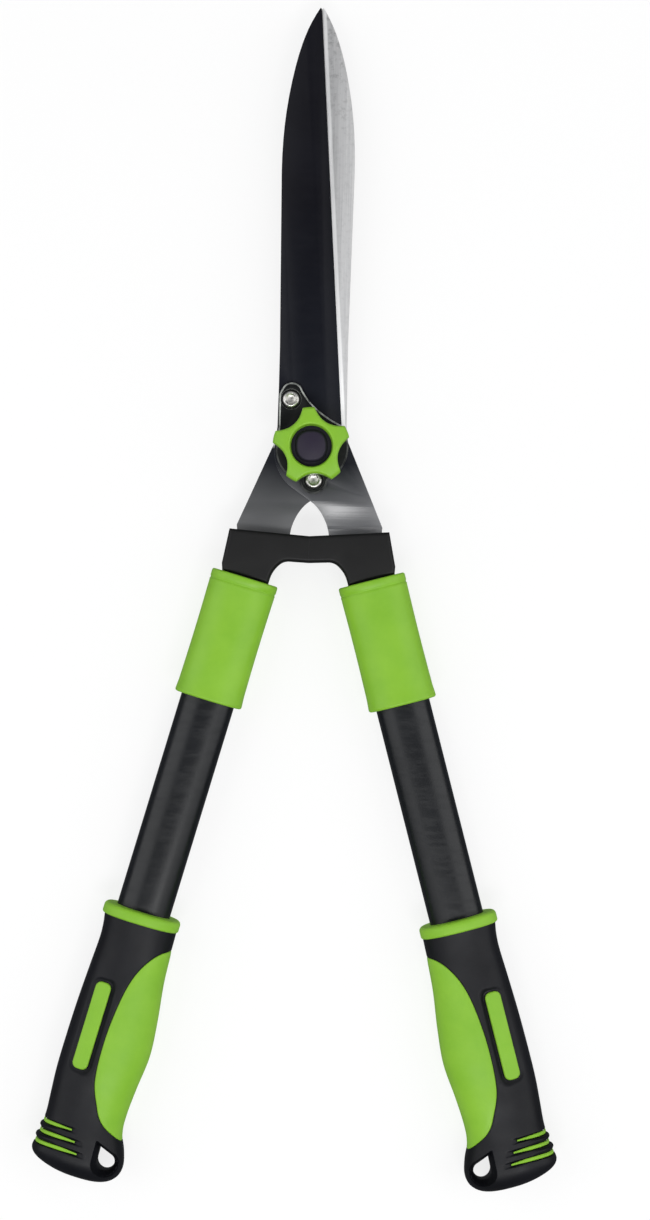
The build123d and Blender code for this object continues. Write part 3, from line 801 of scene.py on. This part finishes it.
def shape_grip_surface(mesh, fields):
    """Moves the skin along its normals for seams, raised inlays, ribs and the hole's bevel."""
    mesh.normal_update()
    moves = []
    for vert in mesh.verts:
        pad, strip, hole = vert[fields["pad"]], vert[fields["strip"]], vert[fields["hole"]]
        height = -seam_drop(pad) - seam_drop(strip)
        height += 0.25 * step_between(0.0, 3.0, -pad)
        height += 0.35 * step_between(0.0, SEAM, -strip)
        if strip > 0:
            palm_side = step_between(0.0, 4.5, STRIP_CENTRE[0] - vert.co.x)
            height -= (0.7 + 0.8 * palm_side) * (1 - step_between(0.7, 2.4 + palm_side, strip))
        height += rib_height(vert.co.x, vert.co.y)
        moves.append((vert, vert.normal * height, hole))
    for vert, move, hole in moves:
        vert.co += move
        if hole < HANG_BEVEL:
            share = 1 - max(hole, 0.0) / HANG_BEVEL
            vert.co.z -= HANG_BEVEL_DEPTH * share ** 1.15
        if vert.co.z < 0:
            vert.co.z = 0.0


def region_of(face, fields):
    """Which piece a face of the grip's skin belongs to; none in the hole."""
    owners = {"hole": None, "pad": "palm_pad", "strip": "grip_strips"}
    for name, owner in owners.items():
        if sum(vert[fields[name]] for vert in face.verts) < 0:
            return owner
    return "grip_body"


def both_halves(faces):
    """A new mesh of some faces of the front half and their mirror image; also the copied corners."""
    mesh = bmesh.new()
    copies = {}
    for sign in (1, -1):
        for face in faces:
            ring = []
            for vert in face.verts:
                key = (vert.index, sign if vert.co.z > 1e-6 else 0)
                if key not in copies:
                    copies[key] = mesh.verts.new((vert.co.x, vert.co.y, vert.co.z * sign))
                ring.append(copies[key])
            if len(set(ring)) > 2:
                mesh.faces.new(ring if sign > 0 else reversed(ring))
    return mesh, copies


def line_hole(mesh, copies, half, layer):
    """The wall of the hanging hole, from its front edge to its back edge."""
    for edge in half.edges:
        a, b = edge.verts
        on_hole = abs(a[layer]) < 1e-5 and abs(b[layer]) < 1e-5
        if on_hole and (a.index, 1) in copies and (b.index, 1) in copies:
            front = copies[(a.index, 1)], copies[(b.index, 1)]
            back = copies[(b.index, -1)], copies[(a.index, -1)]
            mesh.faces.new((*front, *back))


def close_grip_end(mesh):
    """Fills the small flat at the lower end."""
    rim = []
    for edge in mesh.edges:
        if edge.is_boundary and all(vert.co.y < GRIP_END + 0.01 for vert in edge.verts):
            rim.append(edge)
    bmesh.ops.contextual_create(mesh, geom=rim)


def thicken(piece, thickness):
    """Gives a skin its wall, inward."""
    solid = piece.modifiers.new("wall", "SOLIDIFY")
    solid.thickness = thickness * MM
    solid.offset = -1
    solid.use_rim = True
    bake_modifiers(piece)
    sharp_above(piece, 50)


def make_grip_skins(side):
    """Body, palm pad and strips of one grip."""
    half, fields = grip_front_half()
    half.verts.index_update()
    regions = {}
    for face in half.faces:
        regions.setdefault(region_of(face, fields), []).append(face)
    slots = {"grip_body": "grip_rubber", "palm_pad": "green_rubber", "grip_strips": "green_rubber"}
    for region, slot in slots.items():
        mesh, copies = both_halves(regions[region])
        if region == "grip_body":
            line_hole(mesh, copies, half, fields["hole"])
            close_grip_end(mesh)
        bmesh.ops.transform(mesh, matrix=handle_matrix(side), verts=mesh.verts)
        piece = object_from_bmesh(f"{side}_{region}_skin", mesh)
        thicken(piece, GRIP_WALL)
        dress(piece, slot, BODIES[side], f"{side}_{region}")
    half.free()


def band_rows(centre, inner):
    """Rows of points over the rounded face of one band."""
    turns = []
    for turn in spread(-BAND_TURN, BAND_TURN, 121):
        if band_point(centre, turn, 0)[0] > inner:
            turns.append(turn)
    rows = []
    for across in spread(-1.0, 1.0, 7):
        rise = -0.55 + 0.5 * math.sqrt(max(0.0, 1 - across ** 2 * 0.96))
        row = []
        for turn in turns:
            reach = band_point(centre, turn, 0)[0] - inner
            width = 0.45 + 0.45 * step_between(0.0, 11.0, reach)
            row.append(band_point(centre + across * width, turn, rise))
        rows.append(row)
    return rows


def make_rib_bands(side):
    """Three thin green fins in the grooves between the ribs, tapering towards the palm."""
    mesh = bmesh.new()
    matrix = handle_matrix(side)
    for centre, inner in BANDS:
        rows = band_rows(centre, inner)
        skin_rows(mesh, [[mesh.verts.new(matrix @ Vector(point)) for point in row] for row in rows])
    piece = object_from_bmesh(f"{side}_rib_bands_shown", mesh)
    turn_outward(piece, matrix @ Vector((0, BANDS[1][0], 0)))
    thicken(piece, BAND_WALL)
    dress(piece, "green_rubber", BODIES[side], f"{side}_rib_bands")


def band_point(station, angle, rise):
    """A point on the grip's surface at a bowed station, raised square to the surface."""
    inner, outer, half_depth = smooth_through(GRIP_FORM, station)
    centre, half_width = (inner + outer) / 2, (outer - inner) / 2
    x, z = oval_point(half_width + rise, half_depth + rise, GRIP_POWER, angle)
    return (centre + x, station - BAND_BOW * (centre + x - 4.0) ** 2, z)


def turn_outward(piece, centre):
    """Makes every face of an open skin look away from a point."""
    mesh = bmesh.new()
    mesh.from_mesh(piece.data)
    flipped = [face for face in mesh.faces if face.normal.dot(face.calc_center_median() - centre) < 0]
    bmesh.ops.reverse_faces(mesh, faces=flipped)
    mesh.to_mesh(piece.data)
    mesh.free()


# ---- Flanges, sleeves and tubes ----

AROUND = 128                 # points round an oval


def swept_oval(name, side, half_width, half_depth, power, profile):
    """A ring-shaped piece round the handle axis: the profile gives station and growth of the oval."""
    rings = []
    for station, growth in profile:
        ring = []
        for turn in full_turn(AROUND):
            x, z = oval_point(half_width + growth, half_depth + growth, power, turn)
            ring.append((x, station, z))
        rings.append(ring)
    return object_from_rings(name, rings, handle_matrix(side))


def rounded_corner(station, growth, radius, start, end):
    """Profile points of an arc round a corner, angles in degrees."""
    points = []
    for turn in spread(math.radians(start), math.radians(end), 6):
        points.append((station + radius * math.sin(turn), growth + radius * math.cos(turn)))
    return points


def make_flange(side):
    """Rounded green rim at the top of the grip."""
    top, bottom = -297.4, -303.5
    top_round, bottom_round = 2.2, 1.2
    inward = -7.0
    profile = [(top, inward)]
    profile += rounded_corner(top - top_round, -top_round, top_round, 90, 0)
    profile += rounded_corner(bottom + bottom_round, -bottom_round, bottom_round, 0, -90)
    profile += [(bottom, inward)]
    piece = swept_oval(f"{side}_flange_shown", side, 20.1, 16.0, 2.45, profile)
    dress(piece, "green_rubber", BODIES[side], f"{side}_grip_flange")


def make_sleeve(side):
    """Soft green sleeve: rolled ends, a shallow groove under the rim and a slight waist."""
    top, bottom = -119.7, -185.0
    groove, groove_half, depth = top - 4.6, 0.8, 0.35
    end_round = 1.1
    profile = [(top - 1.2, -5.4), (top - 0.2, -5.0), (top, -2.0)]
    profile += rounded_corner(top - end_round, -end_round, end_round, 80, 0)
    for station in spread(groove + groove_half, groove - groove_half, 9):
        share = 1 - abs(station - groove) / groove_half
        profile.append((station, -depth * share ** 0.7))
    for station in spread(groove - 1.5, bottom + 1.5, 30):
        waist = math.sin(math.pi * (station - top) / (bottom - top))
        flare = step_between(bottom + 7.0, bottom + 1.5, station)
        profile.append((station, -depth * waist + 0.25 * flare))
    profile += rounded_corner(bottom + end_round, 0.25 - end_round, end_round, 0, -85)
    profile += [(bottom, -4.2)]
    piece = swept_oval(f"{side}_sleeve_shown", side, 17.35, 13.4, 2.5, profile)
    dress(piece, "green_plastic", BODIES[side], f"{side}_sleeve")


TUBE_TOP, TUBE_BOTTOM = -122.0, -400.0
TUBE_HALF_WIDTH, TUBE_HALF_DEPTH = 13.9, 10.0
TUBE_WALL = 1.3
TUBE_POWER = 2.35


def tube_ring(inset, station):
    """A flat oval with gently crowned front and back."""
    ring = []
    for turn in full_turn(AROUND, 0.5):
        x, z = oval_point(TUBE_HALF_WIDTH - inset, TUBE_HALF_DEPTH - inset, TUBE_POWER, turn)
        ring.append((x, station, z))
    return ring


def make_tube(side):
    """Flat-oval tube with its wall."""
    path = [(0, TUBE_TOP), (0, TUBE_BOTTOM), (TUBE_WALL, TUBE_BOTTOM), (TUBE_WALL, TUBE_TOP), (0, TUBE_TOP)]
    rings = [tube_ring(inset, station) for inset, station in path]
    piece = object_from_rings(f"{side}_tube_shown", rings, handle_matrix(side), close_ends=False)
    sharp_above(piece, 60)
    dress(piece, "tube_paint", BODIES[side], f"{side}_tube")


# ---- Collars and front blade ----

def at_seam(middle):
    """True for edges on the end faces where the two collars meet."""
    return abs(middle.x) < 0.5


def make_collar(side):
    """Collar whose arm closes up to the other one without a visible gap."""
    piece = refined(f"{side}_collar", 0.4, tight=at_seam)
    for vert in piece.data.vertices:
        offset = vert.co.x - PIVOT.x
        if abs(offset) < 0.5 * MM:
            vert.co.x = PIVOT.x + SIDES[side] * 0.01 * MM
    dress(piece, "collar_nylon", BODIES[side], f"{side}_collar")


def on_boss(middle):
    """True for the upper edge of the front blade round its boss and the arch below it."""
    return middle.x < 9.0 and -44.0 < middle.y < -1.5 and middle.z > -0.5


TANG_STEP_TOP = -27.4        # where the tang starts to step down, from the pivot
TANG_DROP = 1.55
PACKED_STEP_RUN = 8.62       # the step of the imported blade: two bends with a straight between
PACKED_STEP_RADIUS = 12.0
PACKED_STEP_ANGLE = math.radians(17.2)
STEP_BEND_RUN = 3.2          # the step shown: a short bend, then a long easing out
STEP_EASE_RUN = 10.8
STEP_MARGIN = 1.5


def packed_drop(beyond):
    """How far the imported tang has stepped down, this far beyond the start of its step."""
    if beyond > PACKED_STEP_RUN / 2:
        return TANG_DROP - packed_drop(max(0.0, PACKED_STEP_RUN - beyond))
    bend = min(beyond, PACKED_STEP_RADIUS * math.sin(PACKED_STEP_ANGLE))
    drop = PACKED_STEP_RADIUS - math.sqrt(PACKED_STEP_RADIUS**2 - bend**2)
    return drop + (beyond - bend) * math.tan(PACKED_STEP_ANGLE)


def shown_drop(beyond):
    """The same for the softer step of the shown tang."""
    steepest = 2 * TANG_DROP / (STEP_BEND_RUN + STEP_EASE_RUN)
    if beyond < STEP_BEND_RUN:
        return steepest * beyond**2 / (2 * STEP_BEND_RUN)
    left = max(0.0, 1 - (beyond - STEP_BEND_RUN) / STEP_EASE_RUN)
    return TANG_DROP - steepest * STEP_EASE_RUN / 2 * left**2


def soften_step(piece):
    """Draws the step of the tang out into a long soft bend."""
    mesh = bmesh.new()
    mesh.from_mesh(piece.data)
    for reach in spread(-STEP_MARGIN, STEP_BEND_RUN + STEP_EASE_RUN + STEP_MARGIN, 30):
        cut = Vector((0, PIVOT.y + (TANG_STEP_TOP - reach) * MM, 0))
        every = mesh.verts[:] + mesh.edges[:] + mesh.faces[:]
        bmesh.ops.bisect_plane(mesh, geom=every, plane_co=cut, plane_no=(0, 1, 0))
    for vert in mesh.verts:
        beyond = TANG_STEP_TOP - (vert.co.y - PIVOT.y) / MM
        if beyond > 0:
            vert.co.z += (packed_drop(beyond) - shown_drop(beyond)) * MM
    mesh.to_mesh(piece.data)
    mesh.free()


def make_front_blade():
    """Front blade with a broad bevel round the pivot boss and a softly stepped tang."""
    piece = refined("front_blade", 0.22, wide=on_boss)
    soften_step(piece)
    sharp_above(piece, 38)
    dress(piece, "coated_blade", "right_half", "front_blade")


# ---- Knob ----

KNOB_TIP = 19.6
KNOB_VALLEY = 14.0
KNOB_ARC = 11.7
KNOB_LOBES = 5
KNOB_FIRST_LOBE = math.radians(95.5)
KNOB_LOBE_SOFTNESS = 1.3
KNOB_CROWN = 1.5
KNOB_TOP_ROUND = 1.6
KNOB_BOTTOM_ROUND = 1.0
KNOB_RECESS = 10.8
KNOB_RECESS_ROUND = 0.9
KNOB_RECESS_DEPTH = 6.0
KNOB_INNER_HOLE = 5.0
CAP_RADIUS = 8.0
CAP_SHOULDER = 1.9
CAP_DOME = 0.7


def knob_radius(angle):
    """Distance from the axis to the star's edge, with softened lobe corners."""
    lobe = 2 * math.pi / KNOB_LOBES
    from_valley = (angle - KNOB_FIRST_LOBE) % lobe - lobe / 2
    centre = KNOB_VALLEY + KNOB_ARC
    swing = KNOB_ARC ** 2 - (centre * math.sin(from_valley)) ** 2
    if swing <= 0:
        return KNOB_TIP
    valley = centre * math.cos(from_valley) - math.sqrt(swing)
    blend = math.exp(-valley / KNOB_LOBE_SOFTNESS) + math.exp(-KNOB_TIP / KNOB_LOBE_SOFTNESS)
    return -KNOB_LOBE_SOFTNESS * math.log(blend)


def round_ring(reach, height):
    """A circle round the knob's axis."""
    return [(reach * math.cos(angle), reach * math.sin(angle), height) for angle in full_turn(360)]


def star_ring(shrink, height, crown=0.0, share=1.0):
    """The star's outline moved in, blended by share with the rim of the recess; a crown falls outward."""
    ring = []
    for angle in full_turn(360):
        reach = (KNOB_RECESS + KNOB_RECESS_ROUND) * (1 - share) + (knob_radius(angle) - shrink) * share
        fall = crown * max(0.0, (reach - KNOB_RECESS) / (KNOB_TIP - KNOB_RECESS)) ** 2
        ring.append((reach * math.cos(angle), reach * math.sin(angle), height - fall))
    return ring


def arc_steps(radius, start, end, count):
    """Steps round an arc, as reach and height from its centre; angles in degrees."""
    turns = spread(math.radians(start), math.radians(end), count)
    return [(radius * math.cos(turn), radius * math.sin(turn)) for turn in turns]


def knob_outside(bottom, top):
    """Rings of the knob from its underside over the rounded edges to the recess."""
    rings = [round_ring(9.6, bottom), star_ring(1.2, bottom)]
    for reach, rise in arc_steps(KNOB_BOTTOM_ROUND, -90, 0, 5):
        rings.append(star_ring(KNOB_BOTTOM_ROUND - reach, bottom + KNOB_BOTTOM_ROUND + rise))
    for reach, rise in arc_steps(KNOB_TOP_ROUND, 0, 90, 8):
        rings.append(star_ring(KNOB_TOP_ROUND - reach, top - KNOB_TOP_ROUND + rise, KNOB_CROWN))
    for share in spread(0.85, 0.15, 6):
        rings.append(star_ring(KNOB_TOP_ROUND, top, KNOB_CROWN, share))
    return rings


def knob_recess(top):
    """Rings of the round recess, from its soft rim to the hole in its floor."""
    rings = []
    for reach, rise in arc_steps(KNOB_RECESS_ROUND, 90, 180, 7):
        rings.append(round_ring(KNOB_RECESS + KNOB_RECESS_ROUND + reach, top - KNOB_RECESS_ROUND + rise))
    floor = top - KNOB_RECESS_DEPTH
    for inset, rise in ((0.15, 1.2), (0.6, 0.3), (1.4, 0.0)):
        rings.append(round_ring(KNOB_RECESS - inset, floor + rise))
    return rings + [round_ring(KNOB_INNER_HOLE, floor), round_ring(KNOB_INNER_HOLE, floor - 2.0)]


def make_knob():
    """Five-lobed knob: crowned top, rounded edges, deep round recess with a soft rim."""
    low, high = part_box("adjusting_knob")
    bottom, top = (low.z - PIVOT.z) / MM, (high.z - PIVOT.z) / MM
    matrix = Matrix.Translation(PIVOT) @ Matrix.Scale(MM, 4)
    rings = knob_outside(bottom, top) + knob_recess(top)
    piece = object_from_rings("adjusting_knob_shown", rings, matrix)
    sharp_above(piece, 60)
    dress(piece, "green_plastic", "knob", "adjusting_knob")


def cap_profile(flange, floor, top):
    """Reach, height and squareness of the cap's rings, from its thin flange, a dark sheet over the recess
    floor as painted shade, to the middle of its dome.
    """
    step = floor + 0.8
    # the flange lies on the recess floor: a dark sheet as painted shade in the recess
    profile = [(flange, floor, 2.0), (flange, floor + 0.6, 2.0), (flange - 0.2, step, 2.0)]
    profile += [(CAP_RADIUS + 0.5, step, 2.3), (CAP_RADIUS + 0.1, floor + 1.0, 2.4)]
    dome = CAP_RADIUS - CAP_SHOULDER
    for reach, rise in arc_steps(CAP_SHOULDER, 0, 90, 9):
        profile.append((dome + reach, top - CAP_DOME - CAP_SHOULDER + rise, 2.4))
    for reach in spread(dome - 0.6, 0.3, 14):
        share = reach / dome
        profile.append((reach, top - CAP_DOME * share ** 2, 2.4 - 0.4 * (1 - share)))
    return profile


def make_cap():
    """Domed dark cap, slightly squared, with a soft shoulder and a thin dark flange round it that covers the
    recess floor as painted shade.
    """
    low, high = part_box("knob_cap")
    flange = (high.x - low.x) / 2 / MM
    rings = []
    for reach, height, power in cap_profile(flange, (low.z - PIVOT.z) / MM, (high.z - PIVOT.z) / MM):
        rings.append([(*oval_point(reach, reach, power, turn), height) for turn in full_turn(96)])
    matrix = Matrix.Translation(PIVOT) @ Matrix.Rotation(math.radians(3), 4, "Z") @ Matrix.Scale(MM, 4)
    piece = object_from_rings("knob_cap_shown", rings, matrix)
    sharp_above(piece, 60)
    dress(piece, "cap_plastic", "knob", "knob_cap")


make_camera()
make_lights()
make_floor()
MATERIALS = make_materials()
slot_of = {part["node"]: part["material_slot"] for part in frame["record"]["subparts"]}
for side in SIDES:
    make_grip_skins(side)
    make_rib_bands(side)
    make_flange(side)
    make_sleeve(side)
    make_tube(side)
    make_collar(side)
make_front_blade()
make_knob()
make_cap()
for body, nodes in frame["record"]["behaviour"]["bodies"].items():
    for node in nodes:
        if not frame["nodes"][node].hide_render:
            dress(refined(node), slot_of[node], body, node)
